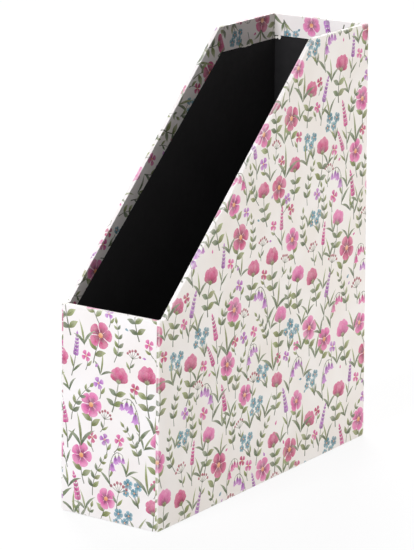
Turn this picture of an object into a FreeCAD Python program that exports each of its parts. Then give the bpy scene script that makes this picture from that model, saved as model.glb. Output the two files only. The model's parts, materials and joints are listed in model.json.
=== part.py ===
import FreeCAD, Part
import math
import os

# A magazine holder: five greyboard walls, joined with gummed paper tape,
# covered outside with printed paper and lined inside with black paper.
# Millimetres. X is the width, Y the depth with the low front at -Y, Z is up.
# The origin is the middle of the footprint, on the surface that it stands on.

# Driving dimensions
width = 85.0
depth = 270.0
height = 320.0
front_height = 152.0
top_flat = 76.0
front_flat = 6.0
front_lean = 4.0
board = 3.0
paper = 0.15
tape = 0.15
lining = 0.2
corner_radius = 1.2

# Covering papers
wrap = 15.0
seam = 2.0
base_margin = 3.0
side_turn_in_top = 19.0
side_turn_in_front = 13.5
side_turn_in_bend = 2.5
end_turn_in = 16.5
lining_overlap = 5.0

# Gummed tape on the board joints
tape_leg = 12.0

# Places worked out from the sizes
half_width = width / 2
half_depth = depth / 2
wall = paper + board
inner_half_width = half_width - wall
inner_floor = wall + lining
slant_foot = -half_depth + front_lean + front_flat
slant_top = half_depth - top_flat
slope = (height - front_height) / (slant_top - slant_foot)
beyond = 1.0


def front_y(z, inset=0.0):
    """Depth of the front face at the height z, moved inwards by the inset."""
    return -half_depth + front_lean * z / front_height + inset


def slant_y(z, lowered=0.0):
    """Depth of the slanted edge at the height z, with the edge lowered square to itself."""
    return slant_foot + (z - front_height + lowered * math.hypot(1, slope)) / slope


def outline(face, bottom, top):
    """The side view of the holder, inset at its front and back, its foot and its top edge."""
    level = height - top
    front_level = front_height - top
    return [
        (front_y(bottom, face), bottom),
        (half_depth - face, bottom),
        (half_depth - face, level),
        (slant_y(level, top), level),
        (slant_y(front_level, top), front_level),
        (front_y(front_level, face), front_level),
    ]


def prism(points, x0, x1):
    """A solid with the side view given as Y, Z points, between two places on X."""
    corners = [FreeCAD.Vector(x0, y, z) for y, z in points]
    outer = Part.makePolygon(corners + corners[:1])
    return Part.Face(outer).extrude(FreeCAD.Vector(x1 - x0, 0, 0))


def box(x0, x1, y0, y1, z0, z1):
    """A box between two places on each axis."""
    return Part.makeBox(x1 - x0, y1 - y0, z1 - z0, FreeCAD.Vector(x0, y0, z0))


def mirrored(shape):
    """The same piece on the other side of the holder."""
    return shape.mirror(FreeCAD.Vector(0, 0, 0), FreeCAD.Vector(1, 0, 0))


def block(side, face, bottom, top, radius=0.0):
    """The whole holder as a block, inset by a depth of layers, its upright edges rounded."""
    solid = prism(outline(face, bottom, top), side - half_width, half_width - side)
    if not radius:
        return solid
    upright = [edge for edge in solid.Edges if is_upright(edge)]
    return solid.makeFillet(radius, upright)


def is_upright(edge):
    """True of the corner edges between a side and the front or the back."""
    start, end = [vertex.Point for vertex in edge.Vertexes]
    return abs(end.z - start.z) > 0.95 * edge.Length


def everything_above(top):
    """The space over the holder's top edge, once that edge is lowered."""
    raised = prism(outline(-beyond, -beyond, -wrap), -width, width)
    return raised.cut(prism(outline(-2 * beyond, -2 * beyond, top), -width, width))


# Layers under the printed paper, from the outside to the boards
side_paper_outside = block(0.0, paper, paper, 0.0, corner_radius)
side_paper_inside = block(paper, 2 * paper, 2 * paper, paper, corner_radius - paper)
tape_inside = block(paper + tape, 2 * paper + tape, 2 * paper + tape, paper,
                    corner_radius - paper - tape)


def turn_in_line(lowered):
    """Where the side papers end inside: front, bend and back, lowered to reach under the lining."""
    front_end = front_height - side_turn_in_front - lowered
    back_end = height - side_turn_in_top - lowered
    return [
        (front_y(front_end, wall), front_end),
        (slant_top + side_turn_in_bend, back_end),
        (half_depth - wall, back_end),
    ]


def side_cover():
    """The printed sheet of the right side, folded over the top edge and round both corners."""
    sheet = side_paper_outside.cut(side_paper_inside)
    sheet = sheet.common(box(half_width - wrap, half_width, -depth, depth, 0, height))
    over_the_opening = everything_above(paper)
    over_the_opening = over_the_opening.common(
        box(-width, inner_half_width, -depth, depth, 0, height + wrap))
    sheet = sheet.cut(over_the_opening)
    upper = outline(wall, 0, 0)[2:]
    flap = prism(turn_in_line(lining_overlap) + upper, inner_half_width, inner_half_width + paper)
    return sheet.fuse(flap).removeSplitter()


def front_cover():
    """The printed sheet of the front, folded over its top edge and under the base."""
    half_sheet = half_width - seam
    face = prism([(front_y(paper), paper), (front_y(paper, paper), paper),
                  (front_y(front_height, paper), front_height),
                  (front_y(front_height), front_height)], -half_sheet, half_sheet)
    under = prism([(front_y(paper), paper), (front_y(paper, wrap), paper),
                   (front_y(paper, wrap), 2 * paper), (front_y(2 * paper), 2 * paper)],
                  wrap - half_width, half_width - wrap)
    low = front_height - paper
    over = prism([(front_y(low), low), (front_y(low, wall), low),
                  (front_y(front_height, wall), front_height),
                  (front_y(front_height), front_height)], -inner_half_width, inner_half_width)
    foot = front_height - end_turn_in - lining_overlap
    flap = prism([(front_y(foot, board), foot), (front_y(foot, wall), foot),
                  (front_y(front_height, wall), front_height),
                  (front_y(front_height, board), front_height)],
                 -inner_half_width, inner_half_width)
    return face.fuse([under, over, flap]).removeSplitter()


def back_cover():
    """The printed sheet of the back, folded over its top edge and under the base."""
    half_sheet = half_width - seam
    face = box(-half_sheet, half_sheet, half_depth - paper, half_depth, paper, height)
    under = box(wrap - half_width, half_width - wrap,
                half_depth - wrap, half_depth, paper, 2 * paper)
    over = box(-inner_half_width, inner_half_width,
               half_depth - wall, half_depth, height - paper, height)
    flap = box(-inner_half_width, inner_half_width, half_depth - wall,
               half_depth - board, height - end_turn_in - lining_overlap, height)
    return face.fuse([under, over, flap]).removeSplitter()


def base_cover():
    """The plain sheet under the base, a little smaller than the footprint."""
    half_sheet = half_width - base_margin
    reach = half_depth - base_margin
    return box(-half_sheet, half_sheet, -reach, reach, 0, paper)


def corner_tape(near_front):
    """Tape folded round one upright corner of the right side."""
    shell = side_paper_inside.cut(tape_inside)
    x0 = half_width - paper - tape_leg
    z0 = 2 * paper + tape
    if near_front:
        end = front_y(0, 2 * paper + front_lean + tape_leg)
        return shell.common(box(x0, half_width, -depth, end, z0, front_height - paper))
    end = half_depth - 2 * paper - tape_leg
    return shell.common(box(x0, half_width, end, depth, z0, height - paper))


def side_base_tape():
    """Tape folded round the lower edge of the right side, between the corner tapes."""
    shell = side_paper_inside.cut(tape_inside)
    start = front_y(0, 2 * paper + front_lean + tape_leg)
    end = half_depth - 2 * paper - tape_leg
    region = box(half_width - paper - tape_leg, half_width, start, end, 0, 2 * paper + tape_leg)
    return shell.common(region)


def end_base_tape(near_front):
    """Tape folded round the lower edge of the front or the back board."""
    shell = block(paper, paper, 2 * paper, paper)
    shell = shell.cut(block(paper, paper + tape, 2 * paper + tape, paper))
    half_tape = half_width - wrap
    if near_front:
        start, end = -depth, front_y(0, paper + tape_leg)
    else:
        start, end = half_depth - paper - tape_leg, depth
    return shell.common(box(-half_tape, half_tape, start, end, 0, 2 * paper + tape_leg))


def side_board():
    """The right side board, before the papers and tapes are pressed into it."""
    plate = prism(outline(paper, paper, paper), inner_half_width, half_width - paper)
    return plate.common(side_paper_inside)


def front_board():
    """The front board, standing between the side boards."""
    top = front_height - paper
    return prism([(front_y(paper, paper), paper), (front_y(paper, wall), paper),
                  (front_y(top, wall), top), (front_y(top, paper), top)],
                 -inner_half_width, inner_half_width)


def back_board():
    """The back board, standing between the side boards."""
    return box(-inner_half_width, inner_half_width,
               half_depth - wall, half_depth - paper, paper, height - paper)


def base_board():
    """The base board, inside the four upright boards."""
    return prism([(front_y(paper, wall), paper), (half_depth - wall, paper),
                  (half_depth - wall, wall), (front_y(wall, wall), wall)],
                 -inner_half_width, inner_half_width)


def side_lining():
    """Black paper on the inside of the right side board."""
    foot = [(half_depth - wall, inner_floor), (front_y(inner_floor, wall), inner_floor)]
    return prism(turn_in_line(0) + foot, inner_half_width - lining, inner_half_width)


def front_lining():
    """Black paper on the inside of the front board."""
    top = front_height - end_turn_in
    half_sheet = inner_half_width - lining
    return prism([(front_y(inner_floor, wall), inner_floor),
                  (front_y(inner_floor, wall + lining), inner_floor),
                  (front_y(top, wall + lining), top),
                  (front_y(top, wall), top)], -half_sheet, half_sheet)


def back_lining():
    """Black paper on the inside of the back board."""
    half_sheet = inner_half_width - lining
    return box(-half_sheet, half_sheet, half_depth - wall - lining,
               half_depth - wall, inner_floor, height - end_turn_in)


def base_lining():
    """Black paper on the base board."""
    return prism([(front_y(wall, wall), wall), (half_depth - wall, wall),
                  (half_depth - wall, inner_floor), (front_y(inner_floor, wall), inner_floor)],
                 -inner_half_width, inner_half_width)


def skins():
    """Every paper and tape that lies on the boards, by name."""
    pieces = {
        "right_side_cover": side_cover(),
        "front_right_corner_tape": corner_tape(True),
        "back_right_corner_tape": corner_tape(False),
        "right_base_tape": side_base_tape(),
        "right_lining": side_lining(),
    }
    for name in list(pieces):
        pieces[name.replace("right", "left")] = mirrored(pieces[name])
    pieces["front_cover"] = front_cover()
    pieces["back_cover"] = back_cover()
    pieces["base_cover"] = base_cover()
    pieces["front_base_tape"] = end_base_tape(True)
    pieces["back_base_tape"] = end_base_tape(False)
    pieces["front_lining"] = front_lining()
    pieces["back_lining"] = back_lining()
    pieces["base_lining"] = base_lining()
    return pieces


def boards(papers):
    """The five boards, each with the papers and tapes pressed flush into it."""
    pieces = {
        "right_side_board": side_board(),
        "left_side_board": mirrored(side_board()),
        "front_board": front_board(),
        "back_board": back_board(),
        "base_board": base_board(),
    }
    for name, solid in pieces.items():
        pieces[name] = solid.cut(list(papers.values()))
    return pieces


os.makedirs("parts", exist_ok=True)
papers = skins()
pieces = dict(boards(papers), **papers)
for name, shape in pieces.items():
    solid = shape.Solids[0]
    print(name, len(shape.Solids), "solid, valid", solid.isValid(), round(solid.Volume), "mm3")
    solid.exportStep("parts/" + name + ".step")
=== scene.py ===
import bpy
import bmesh
import json
import math
import random
import numpy as np
from mathutils import Matrix, Vector
from mathutils.geometry import delaunay_2d_cdt


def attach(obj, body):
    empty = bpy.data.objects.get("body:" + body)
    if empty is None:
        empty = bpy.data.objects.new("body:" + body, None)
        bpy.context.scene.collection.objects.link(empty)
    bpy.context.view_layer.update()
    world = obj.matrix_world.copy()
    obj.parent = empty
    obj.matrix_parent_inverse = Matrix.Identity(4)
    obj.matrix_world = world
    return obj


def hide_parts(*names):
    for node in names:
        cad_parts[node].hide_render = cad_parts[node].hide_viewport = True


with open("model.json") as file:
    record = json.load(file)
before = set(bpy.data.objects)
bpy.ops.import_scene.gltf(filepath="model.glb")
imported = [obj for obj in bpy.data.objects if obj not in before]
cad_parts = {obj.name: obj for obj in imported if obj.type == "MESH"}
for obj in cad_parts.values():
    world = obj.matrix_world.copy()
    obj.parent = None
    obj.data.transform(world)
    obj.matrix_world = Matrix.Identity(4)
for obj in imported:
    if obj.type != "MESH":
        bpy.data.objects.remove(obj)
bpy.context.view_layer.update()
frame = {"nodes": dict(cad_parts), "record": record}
nodes = frame["nodes"]
print("frame loaded,", len(nodes), "solids")

# The sheets are worked out in millimetres and scaled to metres when their mesh is made.
mm = 0.001
flatEnough = math.radians(1.5)     # faces that turn less than this are joined

# The holder's own sizes, as the solids have them
holder = {
    "width": 85.0,
    "depth": 270.0,
    "height": 320.0,
    "frontHeight": 152.0,
    "levelTop": 76.0,
    "frontStep": 6.0,
    "frontLean": 4.0,
    "wall": 3.15,
    "paper": 0.15,
}
halfWidth = holder["width"] / 2
halfDepth = holder["depth"] / 2
innerFace = halfWidth - holder["wall"]
slantTop = (halfDepth - holder["levelTop"], holder["height"])
slantFoot = (-halfDepth + holder["frontLean"] + holder["frontStep"], holder["frontHeight"])


def frontFace(z):
    return -halfDepth + holder["frontLean"] * z / holder["frontHeight"]


def linear(colour):
    # screen values 0-255 to the linear values that shaders and colour attributes hold
    scaled = [c / 255 for c in colour]
    return [c / 12.92 if c < 0.04045 else ((c + 0.055) / 1.055) ** 2.4 for c in scaled]


def newObject(name, data):
    piece = bpy.data.objects.new(name, data)
    bpy.context.scene.collection.objects.link(piece)
    return piece


def newMesh(name, spots, faces):
    mesh = bpy.data.meshes.new(name)
    mesh.from_pydata(spots, [], faces)
    return mesh


def opened(mesh):
    bm = bmesh.new()
    bm.from_mesh(mesh)
    return bm


def closed(bm, mesh):
    bm.to_mesh(mesh)
    bm.free()


camera = {
    "azimuth": 35.117,
    "elevation": 14.917,
    "roll": -0.082,
    "lens": 195.76,
    "clip": (0.05, 50),
    "distance": 2.16252,
    "target": (0.00166, -0.01608, 0.15395),
}


def placeCamera(setup):
    data = bpy.data.cameras.new("photoCamera")
    data.lens = setup["lens"]
    data.clip_start, data.clip_end = setup["clip"]
    eye = newObject("photoCamera", data)
    turn = Matrix.Rotation(math.radians(setup["azimuth"]), 4, "Z")
    turn = turn @ Matrix.Rotation(math.radians(90 - setup["elevation"]), 4, "X")
    turn = turn @ Matrix.Rotation(math.radians(setup["roll"]), 4, "Z")
    back = turn @ Vector((0, 0, setup["distance"]))
    eye.matrix_world = Matrix.Translation(Vector(setup["target"]) + back) @ turn
    bpy.context.scene.camera = eye


placeCamera(camera)
print("camera placed")


# The floral print: marks are outlines in millimetres, upright along +Y, painted one over another.

washes = {
    "raspberry": ((150, 12, 70), (204, 58, 122)),
    "rose": ((180, 38, 118), (224, 104, 168)),
    "lilac": ((142, 66, 160), (202, 134, 206)),
    "teal": ((34, 94, 112), (106, 166, 180)),
    "olive": ((92, 106, 48), (156, 168, 100)),
    "sage": ((66, 86, 54), (124, 138, 92)),
    "stem": ((74, 84, 58), (110, 116, 82)),
    "rust": ((128, 38, 58), (178, 80, 92)),
    "ochre": ((212, 132, 80), (236, 182, 122)),
}

paint = {
    "shadeDepth": 0.8,       # how dark the strokes of a petal get
    "tipFade": 0.2,          # how thin the paint runs at a tip
    "straight": 1e-4,        # the bend of a stroke that has none
}

leafForms = {
    "leaf": lambda t: math.sin(math.pi * t ** 0.85) ** 1.15,
    "petal": lambda t: math.sin(math.pi * t ** 1.7) ** 0.75 * (0.43 + 0.79 * t),
    "heart": lambda t: math.sin(math.pi * t ** 2.1) ** 0.6,
    "drop": lambda t: math.sin(math.pi * t ** 0.6) ** 0.9,
}


def mark(points, wash, foot, tip, shade=0.0):
    return {"points": points, "wash": wash, "foot": foot, "tip": tip, "shade": shade}


def alongCurve(foot, angle, length, bend, t):
    start = math.radians(angle)
    turn = math.radians(bend) or paint["straight"]
    radius = length / turn
    here = start + turn * t
    x = foot[0] + radius * (math.cos(start) - math.cos(here))
    y = foot[1] + radius * (math.sin(here) - math.sin(start))
    return x, y, here


def bothSides(line):
    # line: places with the heading and half the width of a stroke there
    left = [(x - math.cos(a) * half, y + math.sin(a) * half) for x, y, a, half in line]
    right = [(x + math.cos(a) * half, y - math.sin(a) * half) for x, y, a, half in line]
    return left, right[::-1]


def blade(foot, angle, length, width, bend=0.0, form="leaf", wash="olive", shade=0.0, steps=5):
    # a leaf or a petal: angle and bend in degrees from upright, clockwise
    line = []
    for i in range(1, steps):
        t = i / steps
        if form in ("petal", "heart"):
            t = math.sin(t * math.pi / 2) ** 0.9
        line.append((*alongCurve(foot, angle, length, bend, t), width / 2 * leafForms[form](t)))
    tip = alongCurve(foot, angle, length, bend, 1)[:2]
    left, right = bothSides(line)
    return mark([foot] + left + [tip] + right, wash, foot, tip, shade)


def dot(centre, radius, wash, shade=0.0, sides=7):
    x, y = centre
    turns = [2 * math.pi * i / sides for i in range(sides)]
    points = [(x + radius * math.sin(a), y + radius * math.cos(a)) for a in turns]
    return mark(points, wash, (x, y - radius), (x, y + radius), shade)


def bezier(curve, t):
    a, b, c = curve
    u = 1 - t
    return tuple(u * u * a[k] + 2 * u * t * b[k] + t * t * c[k] for k in (0, 1))


def heading(curve, t):
    a, b, c = curve
    dx, dy = (2 * (1 - t) * (b[k] - a[k]) + 2 * t * (c[k] - b[k]) for k in (0, 1))
    return math.degrees(math.atan2(dx, dy))


def stalk(curve, thick=0.55, thin=0.35, steps=6):
    ways = [i / steps for i in range(steps + 1)]
    left, right = bothSides([(*bezier(curve, t), math.radians(heading(curve, t)),
                              (thick + (thin - thick) * t) / 2) for t in ways])
    return mark(left + right, "stem", curve[0], curve[2])


# Each bloom gives its marks and the circles that keep its neighbours off.

def painted(foot, angle, length, width, bend, form, wash, rng, strokes=3, shade=0.0):
    # a petal in washes: the pale shape, a deeper heart and a few strokes that run out from the foot
    marks = [blade(foot, angle, length, width, bend, form, wash, shade + 0.12, 6)]
    marks.append(blade(foot, angle + rng.uniform(-5, 5), length * 0.86, width * 0.62, bend, form,
                       wash, shade, 5))
    for k in range(strokes):
        off = (k - (strokes - 1) / 2) * 44 * width / length / max(1, strokes - 1)
        marks.append(blade(foot, angle + off, length * rng.uniform(0.5, 0.74), width * 0.13, bend,
                           "leaf", wash, shade - rng.uniform(0.2, 0.44), 3))
    return marks


def veinedLeaf(foot, angle, length, width, bend, wash, rng):
    shade = rng.uniform(-0.08, 0.14)
    return [blade(foot, angle, length, width, bend, "leaf", wash, shade, 6),
            blade(foot, angle, length * 0.84, width * 0.18, bend, "leaf", wash, shade - 0.2, 3)]


def globeBloom(rng, wash):
    top = (rng.uniform(-1.5, 1.5), 15 + rng.uniform(-1, 2))
    curve = ((0, 0), (rng.uniform(-3, 3), 8), top)
    marks = [stalk(curve, 0.75, 0.5)]
    side = rng.choice((-1, 1))
    for t in (0.22, 0.56):
        foot = bezier(curve, t)
        marks += veinedLeaf(foot, side * 48, 6.6, 3.1, side * 26, "olive", rng)
        marks += veinedLeaf(foot, -side * 52, 5.8, 2.7, -side * 24, "sage", rng)
    lean = heading(curve, 1) * 0.6
    for a, length, width in ((-66, 6.4, 3.8), (66, 6.4, 3.8), (-40, 8.0, 4.8), (40, 8.0, 4.8),
                             (-14, 8.6, 5.0), (16, 8.4, 4.8), (0, 6.4, 4.4)):
        length *= rng.uniform(0.94, 1.06)
        shade = -0.1 if abs(a) > 60 else rng.uniform(-0.04, 0.06)
        marks += painted(top, lean + a, length, width, -a * 0.6, "petal", wash, rng, 3, shade)
    for a in (-40, 0, 40):
        marks.append(blade((top[0], top[1] - 0.4), lean + a, 2.6, 1.4, -a * 0.6, "leaf",
                           "olive", -0.1, 4))
    return marks, [(0, 4, 4.2), (0, 9, 5.4), (top[0], top[1] + 3.5, 6.8)]


def openBloom(rng, wash):
    size = 6.8
    curve = ((rng.uniform(-3, 3), -15), (rng.uniform(-3, 3), -8), (0, -2))
    marks = [stalk(curve, 0.6, 0.4)]
    for t, side in ((0.3, 1), (0.5, -1)):
        marks += veinedLeaf(bezier(curve, t), side * 48, 7.0, 3.2, side * 18, "olive", rng)
    spin = rng.uniform(0, 72)
    for i in range(5):
        marks += painted((0, 0), spin + 72 * i, size * rng.uniform(0.93, 1.05), size * 0.88,
                         rng.uniform(-8, 8), "heart", wash, rng, 5, rng.uniform(-0.06, 0.08))
    marks.append(dot((0, 0), size * 0.2, "ochre", 0, 9))
    for i in range(7):
        a = 2 * math.pi * i / 7
        marks.append(dot((1.9 * math.sin(a), 1.9 * math.cos(a)), 0.3, "rust", -0.2, 5))
    return marks, [(0, 0, size + 0.2), (0, -9, 4.4)]


def hangingBells(rng, wash):
    side = rng.choice((-1, 1))
    rise = ((0, 0), (-side * 1.5, 11), (side * 3.0, 18))
    arch = ((side * 3.0, 18), (side * 6, 22.5), (side * 10, 19.5))
    marks = [stalk(rise, 0.6, 0.45), stalk(arch, 0.45, 0.3)]
    marks.append(blade((0, 0.5), -side * 24, 11, 1.9, -side * 34, "leaf", "sage"))
    marks.append(blade(bezier(rise, 0.25), side * 42, 8.5, 1.7, -side * 38))
    hooks = [bezier(rise, 0.86), bezier(arch, 0.25), bezier(arch, 0.62), bezier(arch, 1)]
    for hook, size in zip(hooks, (1.1, 1.0, 0.9, 0.75)):
        x, y = hook[0] + side * 0.5, hook[1] - 1.6
        marks.append(stalk((hook, (hook[0] + side * 0.6, hook[1] - 0.4), (x, y)), 0.35, 0.3, 2))
        half, long = 2.1 * size, 4.6 * size
        bell = [(-0.6, 0.35), (-0.72, 0.7), (-1.12, 1), (-0.5, 0.93), (0, 1.12),
                (0.5, 0.93), (1.12, 1), (0.72, 0.7), (0.6, 0.35)]
        outline = [(x + half * a, y - long * b) for a, b in bell]
        marks.append(mark([(x - 0.35, y)] + outline + [(x + 0.35, y)], wash, (x, y), (x, y - long)))
        marks.append(blade((x, y), 180, 3.2 * size, 0.7, 0, "leaf", wash, -0.35, 3))
        marks.append(dot((x, y), 0.62 * size, "olive", -0.1, 5))
    return marks, [(0, 4, 3.2), (side, 11, 4.5), (side * 6, 15, 6.2)]


def starCluster(rng, wash):
    heads = [(-3.6, 9.5, 3.0), (2.9, 11.6, 3.2), (0.2, 6.2, 2.6), (5.9, 7.2, 2.3)]
    if rng.random() < 0.5:
        heads = [(-x, y, r) for x, y, r in heads]
    marks = [stalk(((0, -2.5), (x * 0.3, y * 0.45), (x, y)), 0.5, 0.35, 3) for x, y, r in heads]
    marks.append(blade((0, -1.5), -40, 6.5, 1.7, 20, "leaf", "sage"))
    marks.append(blade((0, -0.5), 38, 5.8, 1.6, -22))
    for x, y, r in heads:
        spin = rng.uniform(0, 72)
        for i in range(5):
            shade = rng.uniform(-0.15, 0.15)
            marks.append(blade((x, y), spin + 72 * i, r, r * 0.86, 0, "heart", wash, shade, 4))
        marks.append(dot((x, y), 0.6, "ochre", 0.05, 5))
    return marks, [(0, 0, 3.0), (0.5, 8.5, 7.2)]


def leafySpray(rng, wash):
    side = rng.choice((-1, 1))
    curve = ((0, 0), (side * 4.5, 11.5), (side * rng.uniform(-3, 0), 26))
    marks = [stalk(curve, 0.6, 0.35)]
    for i in range(4):
        t = 0.22 + 0.22 * i
        foot, angle, size = bezier(curve, t), heading(curve, t), 1 - 0.12 * i
        for k in (-1, 1):
            tone = wash if k > 0 else "sage"
            marks.append(blade(foot, angle + k * 50, 6.6 * size, 3.0 * size, -k * 22,
                               "leaf", tone, rng.uniform(-0.1, 0.15)))
            marks.append(blade(foot, angle + k * 50, 5.4 * size, 0.5, -k * 22, "leaf", tone, -0.3, 3))
    marks.append(blade(bezier(curve, 1), heading(curve, 1), 5.0, 2.2, 10 * side))
    return marks, [(side * 1.5, 5, 4.6), (side * 2.4, 12.5, 5.0), (side, 20, 4.6), (0, 27, 3.0)]


def flowerSpike(rng, wash):
    side = rng.choice((-1, 1))
    curve = ((0, 0), (side * 0.4, 12), (side * 3.6, 23))
    marks = [stalk(curve, 0.55, 0.35)]
    marks.append(blade(bezier(curve, 0.1), -side * 22, 9, 1.4, -side * 18, "leaf", "sage"))
    marks.append(blade(bezier(curve, 0.2), side * 30, 7.5, 1.4, side * 14))
    for i in range(6):
        t = 0.5 + 0.09 * i
        foot, angle, size = bezier(curve, t), heading(curve, t), 1.1 - 0.09 * i
        for k in (-1, 1):
            marks.append(blade(foot, angle + k * 42, 3.0 * size, 1.8 * size, -k * 20,
                               "drop", wash, rng.uniform(-0.25, 0.15), 3))
    marks.append(blade(bezier(curve, 1), heading(curve, 1), 2.6, 1.4, 0, "drop", wash, 0.1, 3))
    return marks, [(0, 4, 3.2), (side * 0.5, 11, 3.0), (side * 2.6, 19, 3.8)]


def dottedUmbel(rng, wash):
    curve = ((0, 0), (rng.uniform(-2, 2), 4), (rng.uniform(-1, 1), 8.5))
    marks = [stalk(curve, 0.5, 0.35, 4)]
    top = curve[2]
    for k, a in enumerate((-62, -38, -14, 10, 34, 58)):
        reach = rng.uniform(4.4, 5.6)
        x = top[0] + math.sin(math.radians(a)) * reach
        y = top[1] + math.cos(math.radians(a)) * reach
        marks.append(stalk((top, ((top[0] + x) / 2, (top[1] + y) / 2 - 0.3), (x, y)), 0.3, 0.25, 2))
        marks.append(dot((x, y), rng.uniform(0.75, 1.0), wash, rng.uniform(-0.15, 0.2), 6))
    marks.append(blade(bezier(curve, 0.2), 48, 5.4, 1.6, -22, "leaf", "olive", 0, 4))
    marks.append(blade(bezier(curve, 0.35), -46, 4.6, 1.5, 20, "leaf", "sage", 0, 4))
    return marks, [(0, 2.5, 3.0), (0, 10, 5.4)]


def grassTuft(rng, wash):
    marks = []
    for a, length, width, bend in ((-16, 14, 1.9, -56), (4, 17, 1.6, 18), (22, 12, 2.0, 60)):
        foot = (rng.uniform(-0.4, 0.4), 0)
        angle = a + rng.uniform(-6, 6)
        marks += veinedLeaf(foot, angle, length * rng.uniform(0.9, 1.1), width, bend,
                            wash if a != 4 else "olive", rng)
    return marks, [(0, 3, 2.2), (0, 9, 3.9), (0, 14, 4.2)]


def smallBloom(rng, wash):
    side = rng.choice((-1, 1))
    curve = ((0, 0), (side * 2.2, 3.5), (side * 0.6, 7.5))
    marks = [stalk(curve, 0.45, 0.35, 4)]
    marks.append(blade(bezier(curve, 0.3), side * 55, 4.6, 1.7, -side * 25, "leaf", "olive", 0, 4))
    spin = rng.uniform(0, 90)
    for i in range(4):
        marks.append(blade(curve[2], spin + 90 * i, 3.1, 2.7, 0, "heart", wash,
                           rng.uniform(-0.1, 0.1), 4))
    marks.append(dot(curve[2], 0.6, "ochre", 0, 5))
    return marks, [(side * 0.8, 2.5, 2.4), (side * 0.6, 7.5, 3.4)]


def loosePetal(rng, wash):
    angle = rng.uniform(-40, 40)
    bend = rng.uniform(-30, 30)
    return [blade((0, -1.2), angle, 2.6, 1.4, bend, "drop", wash, 0.1, 3)], [(0, 0, 1.6)]


# The repeat is a half drop: each column is moved up by half a tile.
wallpaper = {
    "tileWidth": 118.0,
    "tileHeight": 176.0,
    "scale": 1.42,
    "columns": 6,
    "rows": 8,
    "seed": 23,
    "tries": 300,            # how often a bloom looks for a place
    "gap": 0.94,             # how far blooms keep apart at first
    "gapGiven": 0.32,        # and how much of that they give up
    "weld": 1e-4,
    "snap": 1e-5,
    "hair": 1e-9,            # a triangle may reach this far over the edge of a panel
    "blooms": [
        (globeBloom, ("raspberry", "raspberry", "rose"), 14, 12, (0.92, 1.08)),
        (openBloom, ("rose", "rose", "raspberry"), 13, 18, (0.86, 1.04)),
        (hangingBells, ("lilac", "lilac", "rose"), 9, 12, (0.85, 1.05)),
        (starCluster, ("teal",), 8, 22, (0.8, 1.0)),
        (flowerSpike, ("lilac", "rose"), 10, 18, (0.9, 1.1)),
        (leafySpray, ("olive",), 13, 32, (0.75, 0.95)),
        (dottedUmbel, ("rust",), 10, 20, (0.85, 1.05)),
        (smallBloom, ("rose", "lilac", "raspberry"), 24, 25, (0.9, 1.15)),
        (grassTuft, ("sage",), 40, 24, (0.65, 1.05)),
        (loosePetal, ("rose", "lilac", "teal"), 14, 90, (0.9, 1.2)),
    ],
}


def mover(x, y, angle, size, flip):
    c, s = math.cos(math.radians(angle)) * size, math.sin(math.radians(angle)) * size
    return lambda p: (x + p[0] * flip * c + p[1] * s, y - p[0] * flip * s + p[1] * c)


def counterClockwise(points):
    area = sum(a[0] * b[1] - b[0] * a[1] for a, b in zip(points, np.roll(points, -1, 0)))
    return points if area > 0 else points[::-1]


def moved(m, move):
    points = counterClockwise([move(p) for p in m["points"]])
    return dict(m, points=points, foot=move(m["foot"]), tip=move(m["tip"]))


def tileSteps(plan):
    # from the tile to the ones around it
    w, h = plan["tileWidth"], plan["tileHeight"]
    return [(i * w, j * h + i * h / 2) for i in (-1, 0, 1) for j in (-2, -1, 0, 1, 2)]


def scatterBlooms(plan):
    # every bloom keeps clear of the ones before it, less strictly the longer it looks for room
    rng = random.Random(plan["seed"])
    w, h = plan["tileWidth"], plan["tileHeight"]
    taken = np.zeros((0, 3))
    marks = []
    for make, colours, count, lean, sizes in plan["blooms"]:
        for k in range(count):
            shapes, circles = make(rng, colours[k % len(colours)])
            for attempt in range(plan["tries"]):
                size = rng.uniform(*sizes)
                move = mover(rng.uniform(0, w), rng.uniform(0, h), rng.uniform(-lean, lean), size,
                             rng.choice((-1, 1)))
                rings = np.array([move((cx, cy)) + (r * size,) for cx, cy, r in circles])
                gap = plan["gap"] - plan["gapGiven"] * attempt / plan["tries"]
                away = np.hypot(*(rings[:, None, :2] - taken[None, :, :2]).transpose(2, 0, 1))
                if np.all(away > gap * (rings[:, None, 2] + taken[None, :, 2])):
                    taken = np.vstack([taken] + [rings + (*step, 0) for step in tileSteps(plan)])
                    marks += [moved(m, move) for m in shapes]
                    break
    return marks


def liesIn(outline, spot):
    x, y = spot
    ax, ay = outline[:, 0], outline[:, 1]
    bx, by = np.roll(ax, -1), np.roll(ay, -1)
    spans = (ay > y) != (by > y)
    reach = ax + (y - ay) * (bx - ax) / np.where(spans, by - ay, 1)
    return np.count_nonzero(spans & (x < reach)) % 2 == 1


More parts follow.
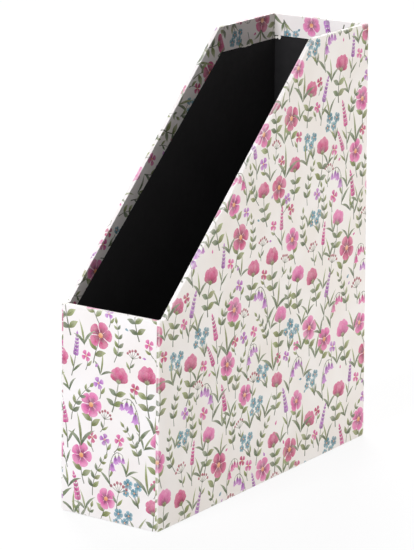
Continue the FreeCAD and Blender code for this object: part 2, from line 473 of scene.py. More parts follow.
def paintTile(plan):
    # flat triangles of one tile, each with the wash of the mark that lies on top there
    marks = scatterBlooms(plan)
    w, h = plan["tileWidth"], plan["tileHeight"]
    copies = []
    for order, m in enumerate(marks):
        points = np.array(m["points"])
        for step in tileSteps(plan):
            low, high = points.min(0) + step, points.max(0) + step
            if high[0] > 0 and high[1] > 0 and low[0] < w and low[1] < h:
                copies.append((order, points + step, step, low, high))
    spots, triangles, owners = [], [], []
    bw, bh = w / plan["columns"], h / plan["rows"]
    for x0 in np.arange(plan["columns"]) * bw:
        for y0 in np.arange(plan["rows"]) * bh:
            near = [k for k, c in enumerate(copies)
                    if c[4][0] > x0 and c[4][1] > y0 and c[3][0] < x0 + bw and c[3][1] < y0 + bh]
            corners = [Vector((x0 + a * bw, y0 + b * bh)) for a, b in ((0, 0), (1, 0), (1, 1), (0, 1))]
            faces = [[0, 1, 2, 3]]
            for k in near:
                outline = [Vector(p) for p in copies[k][1]]
                faces.append(list(range(len(corners), len(corners) + len(outline))))
                corners += outline
            cut = delaunay_2d_cdt(corners, [], faces, 1, plan["snap"], True)
            for face, covers in zip(cut[2], cut[5]):
                if 0 in covers:
                    middle = sum((cut[0][k] for k in face), Vector((0, 0))) / 3
                    on = [c for c in sorted(covers, reverse=True)
                          if not c or liesIn(copies[near[c - 1]][1], middle)]
                    triangles.append([len(spots) + k for k in face])
                    owners.append(near[on[0] - 1] + 1 if on[0] else 0)
            spots += [(v.x, v.y, 0) for v in cut[0]]
    # what lies hidden under another mark is joined up again
    mesh = newMesh("printTile", spots, triangles)
    mesh.polygons.foreach_set("material_index", owners)
    bm = opened(mesh)
    bmesh.ops.remove_doubles(bm, verts=bm.verts, dist=plan["weld"])
    bmesh.ops.dissolve_limit(bm, angle_limit=flatEnough, use_dissolve_boundaries=False,
                             verts=bm.verts, edges=bm.edges, delimit={"MATERIAL"})
    bmesh.ops.triangulate(bm, faces=bm.faces[:])
    spots = np.array([v.co.xy for v in bm.verts])
    triangles = np.array([[v.index for v in f.verts] for f in bm.faces])
    owners = [f.material_index for f in bm.faces]
    tints = [[washAt(marks[copies[k - 1][0]], copies[k - 1][2], spots[corner]) if k else (0, 0, 0, 0)
              for corner in triangle] for k, triangle in zip(owners, triangles)]
    bm.free()
    bpy.data.meshes.remove(mesh)
    print("print tile painted:", len(marks), "marks,", len(triangles), "triangles")
    return spots * plan["scale"], triangles, np.array(tints)


def washAt(m, step, spot):
    # the colour runs from the foot of a mark to its tip
    way = np.subtract(m["tip"], m["foot"])
    t = min(1, max(0, (spot - step - m["foot"]) @ way / (way @ way)))
    deep, pale = washes[m["wash"]]
    tone = [a + (b - a) * t for a, b in zip(deep, pale)]
    if m["shade"] < 0:
        tone = [c * (1 + paint["shadeDepth"] * m["shade"]) for c in tone]
    else:
        tone = [c + (255 - c) * m["shade"] for c in tone]
    return linear(tone) + [1.0 - paint["tipFade"] * t]


tile = paintTile(wallpaper)


# A sheet is put together from flat panels of the wallpaper, folded about the edges of the box.

def clipped(corners, edges):
    # one triangle cut back to a convex outline; each corner is its place and its wash
    for nx, ny, c in edges:
        kept = []
        reach = [p[0] * nx + p[1] * ny - c for p in corners]
        for i, here in enumerate(corners):
            j = (i + 1) % len(corners)
            if reach[i] <= 0:
                kept.append(here)
            if (reach[i] <= 0) != (reach[j] <= 0):
                kept.append(here + (corners[j] - here) * (reach[i] / (reach[i] - reach[j])))
        corners = kept
    return np.array(corners if len(corners) > 2 else [])


class Sheet:
    # collects the panels of one printed sheet
    def __init__(self, offset, mirror=1):
        self.offset = np.array(offset)
        self.mirror = mirror      # -1 where the sheet is seen from the other side
        self.spots, self.faces, self.tints = [], [], []
        self.count = 0

    def panel(self, outline, fold):
        # outline: convex, in the sheet's own flat plane; fold: flat points to points in space
        flat = counterClockwise(np.array(outline, float) * (self.mirror, 1))
        edges = []
        for a, b in zip(flat, np.roll(flat, -1, 0)):
            d = (b - a) / np.hypot(*(b - a))
            edges.append((d[1], -d[0], d[1] * a[0] - d[0] * a[1]))
        spots, triangles, tints = self.wallpaperOver(flat.min(0), flat.max(0))
        sides = np.array([spots @ np.array(e[:2]) - e[2] for e in edges])
        hair = wallpaper["hair"]
        outside = np.any(np.all(sides[:, triangles] > -hair, axis=2), axis=0)
        cutThrough = np.any(np.any(sides[:, triangles] > hair, axis=2), axis=0) & ~outside
        inside = ~outside & ~cutThrough
        used, renumbered = np.unique(triangles[inside], return_inverse=True)
        self.addFaces(spots[used], renumbered.reshape(-1, 3).tolist(), list(tints[inside]), fold)
        for k in np.nonzero(cutThrough)[0]:
            corners = clipped(np.hstack([spots[triangles[k]], tints[k]]), edges)
            if len(corners):
                self.addFaces(corners[:, :2], [list(range(len(corners)))], [corners[:, 2:]], fold)

    def wallpaperOver(self, low, high):
        # the tiles that lie under a stretch of the sheet
        w, h = (wallpaper[key] * wallpaper["scale"] for key in ("tileWidth", "tileHeight"))
        spots, triangles, tints = tile
        outSpots, outTriangles, outTints = [], [], []
        start, end = low + self.offset, high + self.offset
        for i in range(math.floor(start[0] / w), math.floor(end[0] / w) + 1):
            rise = i * h / 2
            for j in range(math.floor((start[1] - rise) / h), math.floor((end[1] - rise) / h) + 1):
                shifted = spots + (i * w, j * h + rise) - self.offset
                corners = shifted[triangles]
                near = np.all(corners.max(1) > low, axis=1) & np.all(corners.min(1) < high, axis=1)
                outTriangles.append(triangles[near] + len(spots) * len(outSpots))
                outSpots.append(shifted)
                outTints.append(tints[near])
        return np.vstack(outSpots), np.vstack(outTriangles), np.vstack(outTints)

    def addFaces(self, flat, faces, tints, fold):
        base = self.count
        places = fold(flat * (self.mirror, 1))
        self.spots.append(places)
        self.faces += [[base + k for k in face] for face in faces]
        self.tints += tints
        self.count += len(flat)


folds = {
    "edgeRadius": 0.5,       # where the paper turns over the edge of a board
    "cornerRadius": 1.2,     # the upright corners of the holder
    "bendSteps": 3,
    "wearWidth": 1.6,
    "weld": 0.004,
    "cutSnap": 0.002,
    "cutMargin": 0.01,       # how far beyond a fold the sheet is still cut
    "ridge": 0.003,          # places this near a corner of the top edge belong to both of its sides
    "touch": 1e-6,
    "backPatch": 14.0,
}


def sheetObject(name, sheet, cuts, soften, finish):
    # weld the panels, cut them beside the folds, round the folds and give the sheet its thickness
    # cuts: for each fold, which places it reaches, and the planes that cut the sheet there
    mesh = newMesh(name, np.vstack(sheet.spots).tolist(), sheet.faces)
    tint = mesh.attributes.new("wash", "FLOAT_COLOR", "CORNER")
    tint.data.foreach_set("color", np.concatenate([np.asarray(t).reshape(-1) for t in sheet.tints]))
    bm = opened(mesh)
    bmesh.ops.remove_doubles(bm, verts=bm.verts, dist=folds["weld"])
    for reaches, planes in cuts:
        near = {face for v in bm.verts if reaches(v.co) for face in v.link_faces}
        part = list(near) + list({edge for face in near for edge in face.edges})
        part += list({v for face in near for v in face.verts})
        for place, normal in planes:
            cut = bmesh.ops.bisect_plane(bm, geom=part, dist=folds["cutSnap"],
                                         plane_co=place, plane_no=normal)
            part = cut["geom"]
    fold = bm.verts.layers.float.new("fold")
    for v in bm.verts:
        where, bent = soften(v.co)
        v.co = where
        v[fold] = bent
    bmesh.ops.dissolve_degenerate(bm, edges=bm.edges[:], dist=folds["weld"])
    bmesh.ops.delete(bm, geom=[e for e in bm.edges if not e.link_faces], context="EDGES")
    bmesh.ops.delete(bm, geom=[v for v in bm.verts if not v.link_faces], context="VERTS")
    bmesh.ops.scale(bm, vec=(mm, mm, mm), verts=bm.verts)
    closed(bm, mesh)
    piece = newObject(name, mesh)
    for material in finish:
        mesh.materials.append(material)
    thick = piece.modifiers.new("paperThickness", "SOLIDIFY")
    thick.thickness = holder["paper"] * mm
    thick.offset = -1
    thick.use_rim = True
    thick.material_offset = 1
    thick.material_offset_rim = 1
    joinBack(piece)
    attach(piece, "root")
    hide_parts(name)
    print(name, "folded,", len(piece.data.polygons), "faces")


def joinBack(piece):
    # the back carries no print and needs few faces, so they are joined up, patch by patch
    graph = bpy.context.evaluated_depsgraph_get()
    single = piece.data
    piece.data = bpy.data.meshes.new_from_object(
        piece.evaluated_get(graph), preserve_all_data_layers=True, depsgraph=graph)
    piece.modifiers.clear()
    bpy.data.meshes.remove(single)
    bm = opened(piece.data)
    size = folds["backPatch"] * mm
    patches = {face: tuple(math.floor(c / size) for c in face.calc_center_median())
               for face in bm.faces if face.material_index}
    inner = [e for e in bm.edges if len({patches.get(face, face) for face in e.link_faces}) == 1]
    bmesh.ops.dissolve_limit(bm, angle_limit=flatEnough, use_dissolve_boundaries=False,
                             verts=[], edges=inner)
    closed(bm, piece.data)


def rolled(h, v, radius):
    # two depths behind a sharp edge, moved on to a round one
    if h < radius and v < radius:
        reach = math.hypot(radius - h, radius - v)
        if reach > radius:
            return radius - (radius - h) * radius / reach, radius - (radius - v) * radius / reach
    return h, v


def wornBy(*depths):
    # 1 on a fold and less beside it, from the depths of a place behind the faces around it
    return max(0.0, 1 - sorted(abs(depth) for depth in depths)[1] / folds["wearWidth"])


def roundCorner(a, b, v):
    # a behind the side face, b behind the end face, v under the edge
    big, small = folds["cornerRadius"], folds["edgeRadius"]
    if a < big and b < big:
        whole = math.hypot(big - a, big - b)
        depth, v = rolled(big - min(big, whole), v, small)
        share = (big - depth) / whole
        return big - (big - a) * share, big - (big - b) * share, v
    if a < b:
        a, v = rolled(a, v, small)
    else:
        b, v = rolled(b, v, small)
    return a, b, v


# The edges of a side, each with its outward normal in depth and height and its reach
slope = math.hypot(slantTop[0] - slantFoot[0], slantTop[1] - slantFoot[1])
slantNormal = (-(slantTop[1] - slantFoot[1]) / slope, (slantTop[0] - slantFoot[0]) / slope)
leanLength = math.hypot(holder["frontHeight"], holder["frontLean"])
frontNormal = (-holder["frontHeight"] / leanLength, holder["frontLean"] / leanLength)
footLevel = holder["paper"]     # the covering sheets start above the base sheet
sideEdges = {
    "level": ((0, 1), holder["height"]),
    "slant": (slantNormal, slantNormal[0] * slantTop[0] + slantNormal[1] * slantTop[1]),
    "step": ((0, 1), holder["frontHeight"]),
    "front": (frontNormal, -frontNormal[0] * halfDepth),
    "back": ((1, 0), halfDepth),
    "foot": ((0, -1), -footLevel),
}
sideSheet = {
    "turnInTop": 24.0,       # the last 5 mm lie under the lining
    "turnInFront": 18.5,
    "turnInBend": 2.5,
    "wrap": 15.0,
    "offsets": {1: (37.0, 61.0), -1: (92.0, 14.0)},
}


def bendDepths(radius):
    # how deep behind an edge its bend is cut, so that the steps of the bend turn evenly
    steps = folds["bendSteps"]
    return [radius * (1 - math.tan(math.radians(45 * k / steps))) for k in range(steps)]


def edgePlane(edge, depth):
    (ny, nz), reach = sideEdges[edge]
    return (0, ny * (reach - depth), nz * (reach - depth)), (0, ny, nz)


def depthUnder(edge, p):
    (ny, nz), reach = sideEdges[edge]
    return reach - p.y * ny - p.z * nz


def underTop(p):
    # the top edge runs level, down the slant and level again at the step
    return min(depthUnder("level", p), max(depthUnder("slant", p), depthUnder("step", p)))


def foldSide(side, edge=None, stage=0):
    # stage 0 is the side face, 1 lies across an edge, 2 hangs down inside
    def place(flat):
        x = np.full(len(flat), innerFace if stage == 2 else halfWidth)
        if stage:
            normal, reach = np.array(sideEdges[edge][0]), sideEdges[edge][1]
            past = flat @ normal - reach
            if stage == 1:
                x -= past
            flat = flat - np.outer(past if stage == 1 else 2 * past - holder["wall"], normal)
        return np.column_stack([side * x, flat])
    return place


def strip(start, end, edge, width):
    # the flat outline of a strip beyond an edge of the side
    out = np.array(sideEdges[edge][0]) * width
    return [start, end, end + out, start + out]


def unfolded(points, edge):
    # places on the inside of the wall, as they lie in the flat sheet before it is folded
    flat, normal = np.array(points), np.array(sideEdges[edge][0])
    deep = sideEdges[edge][1] - flat @ normal
    return flat + np.outer(2 * deep + holder["wall"], normal)


def crossing(p, way, r, s):
    # where the line from p along a way meets the line r-s
    p, way, r, s = np.array((p, way, r, s))
    return p + way * np.linalg.solve(np.stack([way, r - s], 1), r - p)[0]


def makeSideSheet(side, name, finish):
    sheet = Sheet(sideSheet["offsets"][side], side)
    frontFoot, backFoot = (frontFace(footLevel), footLevel), (halfDepth, footLevel)
    frontTop = (frontFace(holder["frontHeight"]), holder["frontHeight"])
    backTop = (halfDepth, holder["height"])
    underStep = (slantFoot[0], footLevel)
    sheet.panel([frontFoot, underStep, slantFoot, frontTop], foldSide(side))
    sheet.panel([underStep, backFoot, backTop, slantTop, slantFoot], foldSide(side))
    wall, wrap = holder["wall"], sideSheet["wrap"]
    for start, end, edge, width in (
            (slantTop, backTop, "level", wall), (slantFoot, slantTop, "slant", wall),
            (frontTop, slantFoot, "step", wall), (frontFoot, frontTop, "front", wrap),
            (backFoot, backTop, "back", wrap), (frontFoot, backFoot, "foot", wrap)):
        sheet.panel(strip(start, end, edge, width), foldSide(side, edge, 1))
    # turned-in strips, mitred where two of them meet
    backInner = halfDepth - wall
    topEnd = holder["height"] - sideSheet["turnInTop"]
    frontEnd = holder["frontHeight"] - sideSheet["turnInFront"]
    bend = (slantTop[0] + sideSheet["turnInBend"], topEnd)
    frontInner = frontFace(frontEnd) + wall
    mitre = (slantNormal[0], slantNormal[1] + 1)
    topMitre = crossing(slantTop, mitre, bend, (backInner, topEnd))
    footMitre = crossing(slantFoot, mitre, (frontInner, frontEnd), bend)
    stepStart = (frontTop[0] + wall, frontTop[1])
    for points, edge in (
            ([slantTop, (backInner, holder["height"]), (backInner, topEnd), topMitre], "level"),
            ([slantTop, topMitre, bend], "slant"), ([slantFoot, slantTop, bend, footMitre], "slant"),
            ([stepStart, slantFoot, footMitre, (frontInner, frontEnd)], "step")):
        sheet.panel(unfolded(points, edge), foldSide(side, edge, 2))

    def soften(p):
        x, y, z = side * p.x, p.y, p.z
        under = {edge: depthUnder(edge, p) for edge in sideEdges}
        v = underTop(p)
        edge = "level" if v == under["level"] else max(("slant", "step"), key=under.get)
        ny, nz = sideEdges[edge][0]
        atTop = abs(under["level"] - under["slant"]) < folds["ridge"]
        atStep = abs(under["slant"] - under["step"]) < folds["ridge"]
        if atTop or atStep and edge != "level":
            # the two sides of a corner move along its mitre
            my, mz = sideEdges["level" if edge == "slant" and atTop else "slant"][0]
            k = 1 + ny * my + nz * mz
            ny, nz = (ny + my) / k, (nz + mz) / k
        end = "front" if under["front"] < under["back"] else "back"
        a, b, newV = roundCorner(halfWidth - x, under[end], v)
        x = halfWidth - a
        y -= (b - under[end]) * sideEdges[end][0][0]
        z -= (b - under[end]) * sideEdges[end][0][1]
        if innerFace - folds["touch"] <= x < innerFace + folds["edgeRadius"]:
            inner, newV = rolled(x - innerFace, v, folds["edgeRadius"])
            x = innerFace + inner
        y -= (newV - v) * ny
        z -= (newV - v) * nz
        if under["foot"] < folds["edgeRadius"]:
            a, b, lower = roundCorner(halfWidth - x, under[end], under["foot"])
            x = halfWidth - a
            z += lower - under["foot"]
        worn = wornBy(halfWidth - side * p.x, side * p.x - innerFace, under[end], v, under["foot"])
        return Vector((side * x, y, z)), worn

    small, big = bendDepths(folds["edgeRadius"]), bendDepths(folds["cornerRadius"])
    near, nearCorner = small[0] + folds["cutMargin"], big[0] + folds["cutMargin"]

    def upright(places):
        return [((side * x, 0, 0), (1, 0, 0)) for x in places]

    cuts = [
        (lambda p: underTop(p) < near,
         [edgePlane(edge, depth) for edge in ("level", "slant", "step") for depth in small]
         + upright(x for d in small for x in (halfWidth - d, innerFace + d))),
        (lambda p: depthUnder("foot", p) < near,
         [edgePlane("foot", depth) for depth in small] + upright(halfWidth - d for d in small)),
        (lambda p: min(depthUnder("front", p), depthUnder("back", p)) < nearCorner,
         [edgePlane(edge, depth) for edge in ("front", "back") for depth in big]
         + upright(halfWidth - d for d in big)),
    ]
    sheetObject(name, sheet, cuts, soften, finish)


endSheet = {
    "seam": 2.0,             # how far from the corner the sheet stops
    "turnIn": 21.5,
    "wrap": 15.0,
    "offsets": {-1: (12.0, 118.0), 1: (71.0, 33.0)},
}


def makeEndSheet(end, name, finish):
    # end -1 is the front, 1 the back; flat places are across and up
    top = holder["frontHeight"] if end < 0 else holder["height"]
    lean = holder["frontLean"] if end < 0 else 0
    wall = holder["wall"]
    proud = holder["paper"]      # the end sheets lie on the wraps of the side sheets

    def face(z):
        return halfDepth - lean * z / holder["frontHeight"]

    def place(stage):
        def fold(flat):
            x, v = flat[:, 0], flat[:, 1]
            if stage == "face":
                y, z = face(v) + proud, v
            elif stage == "over":
                y, z = face(top) + proud - (v - top), np.full(len(v), top)
            elif stage == "inside":
                z = top - (v - top - wall - proud)
                y = face(z) - wall
            else:
                y, z = face(footLevel) + proud + (v - footLevel), np.full(len(v), footLevel)
            return np.stack([x, end * y, z], 1)
        return fold

    half = halfWidth - endSheet["seam"]
    over = top + wall + proud
    narrow = halfWidth - endSheet["wrap"]
    sheet = Sheet(endSheet["offsets"][end], -end)
    for reach, start, stop, stage in (
            (half, footLevel, top, "face"), (innerFace, top, over, "over"),
            (innerFace, over, over + endSheet["turnIn"], "inside"),
            (narrow, footLevel - endSheet["wrap"], footLevel, "under")):
        sheet.panel([(-reach, start), (reach, start), (reach, stop), (-reach, stop)], place(stage))

    def soften(p):
        radius = folds["edgeRadius"]
        h, v = face(p.z) + proud - end * p.y, top - p.z
        back, lower = wall + proud - h, p.z - footLevel
        newH, newV = rolled(h, v, radius)
        inner, lift = h - newH, 0
        if -folds["touch"] <= back < radius:
            newBack, newV = rolled(max(0.0, back), v, radius)
            inner = newBack - max(0.0, back)
        if lower < radius:
            newH, newLower = rolled(h, lower, radius)
            inner, lift = h - newH, newLower - lower
        where = Vector((p.x, end * (end * p.y + inner), p.z - (newV - v) + lift))
        return where, wornBy(h, v, back, lower)

    (ny, nz), reach = sideEdges["front" if end < 0 else "back"]
    small = bendDepths(folds["edgeRadius"])
    near = small[0] + folds["cutMargin"]

    def upright(depth):
        return (0, ny * (reach + proud - depth), nz * (reach + proud - depth)), (0, ny, nz)

    cuts = [
        (lambda p: top - p.z < near,
         [((0, 0, top - depth), (0, 0, 1)) for depth in small]
         + [upright(d) for depth in small for d in (depth, wall + proud - depth)]),
        (lambda p: p.z - footLevel < near,
         [((0, 0, footLevel + depth), (0, 0, 1)) for depth in small]
         + [upright(depth) for depth in small]),
    ]
    sheetObject(name, sheet, cuts, soften, finish)


class Nodes:
    # short way to wire up a material or the world
    def __init__(self, owner, shader="Principled BSDF"):
        self.owner = owner
        owner.use_nodes = True
        self.tree = owner.node_tree
        self.shader = self.tree.nodes[shader]

    def join(self, source, socket):
        if isinstance(source, (int, float)):
            socket.default_value = source
        elif isinstance(source, (tuple, list)):
            socket.default_value = (*source, 1) if socket.type == "RGBA" else source
        else:
            self.tree.links.new(source, socket)

    def add(self, kind, inputs, output, **settings):
        node = self.tree.nodes.new(kind)
        for key, value in settings.items():
            setattr(node, key, value)
        for socket, source in inputs.items():
            self.join(source, node.inputs[socket])
        return node.outputs[output]

    def place(self):
        return self.add("ShaderNodeTexCoord", {}, "Object")

    def noise(self, size, detail, rough=0.5, stretch=(1, 1, 1)):
        where = self.add("ShaderNodeMapping", {"Vector": self.place(), "Scale": stretch}, "Vector")
        inputs = {"Vector": where, "Scale": 1000 / size, "Detail": detail, "Roughness": rough}
        return self.add("ShaderNodeTexNoise", inputs, "Fac")

    def spread(self, value, low, high, newLow, newHigh):
        inputs = dict(enumerate((value, low, high, newLow, newHigh)))
        return self.add("ShaderNodeMapRange", inputs, "Result")

    def blots(self, key, look, share=1):
        # from nothing to the share, between the two values that follow the noise
        given, start, full = look[key]
        return self.spread(self.noise(*given), start, full, 0, share)

    def calc(self, operation, a, b):
        return self.add("ShaderNodeMath", {0: a, 1: b}, 0, operation=operation)

    def mix(self, share, a, b, blend="MIX"):
        inputs = {"Factor": share, "A": a, "B": b}
        return self.add("ShaderNodeMix", inputs, "Result", data_type="RGBA", blend_type=blend)

    def bump(self, height, strength, distance, under=None):
        inputs = {"Height": height, "Strength": strength, "Distance": distance * mm}
        if under is not None:
            inputs["Normal"] = under
        return self.add("ShaderNodeBump", inputs, "Normal")

    def seen(self):
        # 1 for what the camera sees, also in gloss and through glass
        camera, gloss, glass = (self.add("ShaderNodeLightPath", {}, "Is " + kind + " Ray")
                                for kind in ("Camera", "Glossy", "Transmission"))
        return self.calc("MAXIMUM", self.calc("MAXIMUM", camera, gloss), glass)

    def surface(self, colour, roughness, normal, specular=0.5):
        for name, value in (("Base Color", colour), ("Roughness", roughness), ("Normal", normal),
                            ("Specular IOR Level", specular)):
            self.join(value, self.shader.inputs[name])
        return self.owner


# A noise is the size of a blot in millimetres, its detail, roughness and stretch.
# Its values mostly lie between these two:
noiseSpan = (0.3, 0.7)
paperFinish = {
    "sheet": (240, 236, 233),
    "sheetWarm": (235, 229, 224),
    "warmth": ((38, 2), 0.35, 0.65),
    "pools": (5.5, 3, 0.6),          # the paint pools and thins like watercolour
    "pooled": (0.88, 1.2),
    "specks": (0.9, 2, 0.6),
    "specked": (0.93, 1.06),
    "cover": 0.96,
    "blush": (236, 190, 206),
    "blushes": ((9, 2), 0.4, 0.65),
    "blushShare": 0.25,
    "rubs": ((2.2, 4, 0.7), 0.35, 0.62),     # along the folds it is rubbed off here and there
    "wear": 0.55,
    "worn": (250, 248, 245),
    "wornShare": 0.5,
    "sheen": (14, 3),
    "roughness": (0.46, 0.6),
    "specular": 0.35,
    "waves": (24, 2),                # the board isn't quite flat
    "swell": (0.25, 0.35),
    "fibres": (0.55, 4, 0.65),
    "relief": (0.3, 0.03),
}


def printedPaper():
    look = paperFinish
    n = Nodes(bpy.data.materials.new("printedPaper"))
    wash, cover = (n.add("ShaderNodeAttribute", {}, output, attribute_name="wash")
                   for output in ("Color", "Alpha"))
    fold = n.add("ShaderNodeAttribute", {}, "Fac", attribute_name="fold")
    ground = n.mix(n.blots("warmth", look), linear(look["sheet"]), linear(look["sheetWarm"]))
    pooled = n.spread(n.noise(*look["pools"]), *noiseSpan, *look["pooled"])
    specked = n.spread(n.noise(*look["specks"]), *noiseSpan, *look["specked"])
    density = n.calc("MULTIPLY", n.calc("MULTIPLY", cover, pooled), specked)
    rubbed = n.calc("MULTIPLY", n.calc("MULTIPLY", fold, n.blots("rubs", look)), look["wear"])
    density = n.calc("MULTIPLY", density, n.calc("SUBTRACT", 1.0, rubbed))
    blush = n.blots("blushes", look, look["blushShare"])
    colour = n.mix(blush, wash, linear(look["blush"]), "MULTIPLY")
    colour = n.mix(n.spread(density, 0, 1, 0, look["cover"]), ground, colour)
    colour = n.mix(n.calc("MULTIPLY", rubbed, look["wornShare"]), colour, linear(look["worn"]))
    roughness = n.spread(n.noise(*look["sheen"]), *noiseSpan, *look["roughness"])
    board = n.bump(n.noise(*look["waves"]), *look["swell"])
    fibres = n.bump(n.noise(*look["fibres"]), *look["relief"], board)
    return n.surface(colour, roughness, fibres, look["specular"])


# Each plain stock has two tones and the blots that mix them, marks in a tone of their own,
# and a grain with its strength and depth. Where blots, marks or gloss aren't given, the grain
# stands in.
stocks = {
    "barePaper": {
        "tones": ((250, 247, 241), (232, 226, 214)), "blots": (1.6, 4, 0.6),
        "gloss": (3, 3), "roughness": (0.75, 0.9),
        "grain": (0.4, 4, 0.7), "relief": (0.5, 0.05),
    },
    "blackLining": {
        "tones": ((19, 18, 19), (27, 26, 27)), "blots": (30, 3), "contrast": True,
        "markTone": (58, 56, 56), "marked": (0.62, 0.8, 0.5),
        "gloss": (9, 3), "roughness": (0.78, 0.92), "specular": 0.3,
        "grain": (0.7, 4, 0.65, (1, 1, 0.45)), "relief": (0.4, 0.05),
        "waves": (26, 2), "swell": (0.25, 0.3),
    },
    "basePaper": {
        "tones": ((240, 237, 231), (229, 224, 214)), "blots": (22, 3), "contrast": True,
        "markTone": (176, 168, 158), "marks": (3.2, 5, 0.7, (1, 0.35, 1)), "marked": (0.6, 0.74, 0.35),
        "gloss": (4, 3), "roughness": (0.68, 0.85),
        "grain": (0.6, 4, 0.65), "relief": (0.4, 0.04),
    },
    "greyboard": {
        "tones": ((186, 180, 170), (160, 153, 143)), "blots": (12, 3),
        "markTone": (118, 110, 100), "marked": (0.56, 0.7, 0.6),
        "roughness": (0.82, 0.95), "grain": (0.8, 5, 0.7), "relief": (0.5, 0.08),
    },
    "gummedTape": {
        "tones": ((206, 172, 128), (178, 142, 98)), "gloss": (5, 3), "roughness": (0.5, 0.66),
        "grain": (0.9, 4, 0.6, (0.35, 0.35, 1)), "relief": (0.4, 0.04),
    },
}


def plainStock(name):
    look = stocks[name]
    n = Nodes(bpy.data.materials.new(name))
    grain = n.noise(*look["grain"])
    blots, marks, gloss = (n.noise(*look[key]) if key in look else grain
                           for key in ("blots", "marks", "gloss"))
    if "contrast" in look:
        blots = n.spread(blots, *noiseSpan, 0, 1)
    colour = n.mix(blots, linear(look["tones"][0]), linear(look["tones"][1]))
    if "marked" in look:
        start, full, share = look["marked"]
        colour = n.mix(n.spread(marks, start, full, 0, share), colour, linear(look["markTone"]))
    under = n.bump(n.noise(*look["waves"]), *look["swell"]) if "waves" in look else None
    return n.surface(colour, n.spread(gloss, *noiseSpan, *look["roughness"]),
                     n.bump(grain, *look["relief"], under), look.get("specular", 0.5))


printed, bare = printedPaper(), plainStock("barePaper")
for side, name in ((1, "right_side_cover"), (-1, "left_side_cover")):
    makeSideSheet(side, name, (printed, bare))
for end, name in ((-1, "front_cover"), (1, "back_cover")):
    makeEndSheet(end, name, (printed, bare))
print("covering papers done")

tears = {
    "lift": 0.25,            # how far a torn edge stands off the lining
    "thickness": 0.12,
    "clear": 0.02,
    "lining": 0.2,           # the lining stands this far in from the wall
    "fibres": 0.16,          # how far the torn fibres stick out
    "breaks": 5,
    "seed": 8,
    # places on the wall: along it and up, round each torn bit
    "corner": [(-38.7, 302.6), (-37.6, 303.0), (-36.6, 302.7), (-35.4, 303.6), (-34.2, 303.7),
               (-33.5, 302.9), (-33.7, 301.2), (-34.7, 300.6), (-35.8, 301.0), (-36.3, 302.0),
               (-36.9, 301.1), (-37.9, 300.8), (-38.8, 301.4)],
    "edge": [(100.5, 301.2), (97.0, 301.6), (93.5, 301.5), (88.5, 301.5), (86.0, 301.1),
             (88.0, 300.7), (91.5, 300.3), (95.0, 300.6), (98.0, 300.5)],
}


def ragged(outline):
    # a torn outline: each stretch is broken up and its breaks pushed in and out
    rng = random.Random(tears["seed"])
    points = []
    for a, b in zip(outline, outline[1:] + outline[:1]):
        length = math.dist(a, b)
        across = ((b[1] - a[1]) / length, (a[0] - b[0]) / length)
        for k in range(tears["breaks"]):
            t = k / tears["breaks"]
            out = rng.uniform(-1, 1) * tears["fibres"]
            points.append((a[0] + (b[0] - a[0]) * t + across[0] * out,
                           a[1] + (b[1] - a[1]) * t + across[1] * out))
    return points


def tornBit(name, outline, onWall, finish):
    # a scrap of bare paper that the lining doesn't cover, its lower edge lifted
    outline = ragged(outline)
    high = max(p[1] for p in outline)
    low = min(p[1] for p in outline)
    spots, faces = [], []
    middle = (sum(p[0] for p in outline) / len(outline), (high + low) / 2)
    for layer in (0, tears["thickness"]):
        for along, up in [middle] + outline:
            off = tears["clear"] + layer + tears["lift"] * (high - up) / (high - low)
            spots.append(onWall(along, up, off))
    n = len(outline)
    for k in range(n):
        a, b = 1 + k, 1 + (k + 1) % n
        faces += [(0, b, a), (n + 1, n + 1 + a, n + 1 + b), (a, b, n + 1 + b, n + 1 + a)]
    mesh = newMesh(name, [[c * mm for c in spot] for spot in spots], faces)
    bm = opened(mesh)
    bmesh.ops.recalc_face_normals(bm, faces=bm.faces)
    closed(bm, mesh)
    mesh.materials.append(finish)
    piece = newObject(name, mesh)
    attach(piece, "root")


backLining = halfDepth - holder["wall"] - tears["lining"]
leftLining = tears["lining"] - innerFace
tornBit("torn_corner", tears["corner"], lambda along, up, off: (along, backLining - off, up), bare)
tornBit("torn_edge", tears["edge"], lambda along, up, off: (leftLining + off, along, up), bare)
print("torn bits of paper done")

finishes = {
    "black_paper": plainStock("blackLining"),
    "base_paper": plainStock("basePaper"),
    "greyboard": plainStock("greyboard"),
    "gummed_tape": plainStock("gummedTape"),
}
for part in frame["record"]["subparts"]:
    if part["material_slot"] in finishes:
        mesh = nodes[part["node"]].data
        mesh.materials.clear()
        mesh.materials.append(finishes[part["material_slot"]])
print("linings, base, boards and tapes finished")


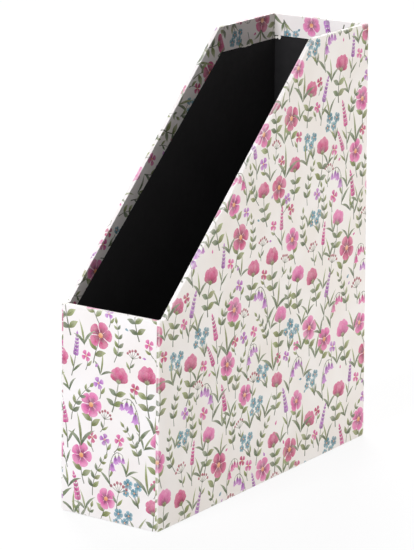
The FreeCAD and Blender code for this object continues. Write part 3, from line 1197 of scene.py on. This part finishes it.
studio = {
    "floor": (250, 250, 250),
    "floorShade": (138, 138, 138),   # what the floor throws back on to the holder
    "floorLift": 0.88,               # how much of it is plain white beside the holder
    "floorBlend": (0.6, 2.4),        # and where it runs into the white behind
    "floorReach": 6.0,
    "floorRoughness": 0.9,
    "world": 0.22,
    "lamps": {
        # place, width, height, watts and colour; each aims at the middle of the holder
        "key": ((-0.1, -2.4, 1.2), 0.9, 1.5, 63, (0.975, 0.985, 1.045)),
        "side": ((1.05, 0.25, 0.15), 1.0, 0.26, 8.0, (1.0, 0.978, 0.95)),
        "back": ((-1.6, 1.7, 2.0), 1.6, 1.6, 86, (1.0, 0.995, 0.99)),
    },
    "aim": (0, 0, 0.15),
}


def plainFloor():
    reach, z = studio["floorReach"], -0.1 * mm
    corners = [(-reach, -reach, z), (reach, -reach, z), (reach, reach, z), (-reach, reach, z)]
    mesh = newMesh("floor", corners, [(0, 1, 2, 3)])
    floor = newObject("floor", mesh)
    n = Nodes(bpy.data.materials.new("floorSurface"))
    seen = n.seen()
    tone = n.mix(seen, linear(studio["floorShade"]), linear(studio["floor"]))
    n.join(tone, n.shader.inputs["Base Color"])
    n.join(studio["floorRoughness"], n.shader.inputs["Roughness"])
    away = n.add("ShaderNodeVectorMath", {0: n.place()}, "Value", operation="LENGTH")
    lift = n.spread(away, *studio["floorBlend"], studio["floorLift"], 1.0)
    blend = n.add("ShaderNodeMixShader", {0: n.calc("MULTIPLY", seen, lift), 1: n.shader.outputs[0],
                                          2: n.add("ShaderNodeEmission", {}, 0)}, 0)
    n.join(blend, n.tree.nodes["Material Output"].inputs["Surface"])
    mesh.materials.append(n.owner)


def lightStudio():
    world = bpy.data.worlds.new("studioWorld")
    bpy.context.scene.world = world
    n = Nodes(world, "Background")
    n.join((1, 1, 1), n.shader.inputs["Color"])
    n.join(n.spread(n.seen(), 0, 1, studio["world"], 1.0), n.shader.inputs["Strength"])
    for name, (place, width, height, watts, colour) in studio["lamps"].items():
        data = bpy.data.lights.new(name, "AREA")
        data.shape = "RECTANGLE"
        data.size = width
        data.size_y = height
        data.energy = watts
        data.color = colour
        lamp = newObject(name, data)
        lamp.location = place
        aim = Vector(studio["aim"]) - Vector(place)
        lamp.rotation_euler = aim.to_track_quat("-Z", "Y").to_euler()


plainFloor()
lightStudio()
bpy.context.scene.view_settings.view_transform = "Standard"
print("studio ready")
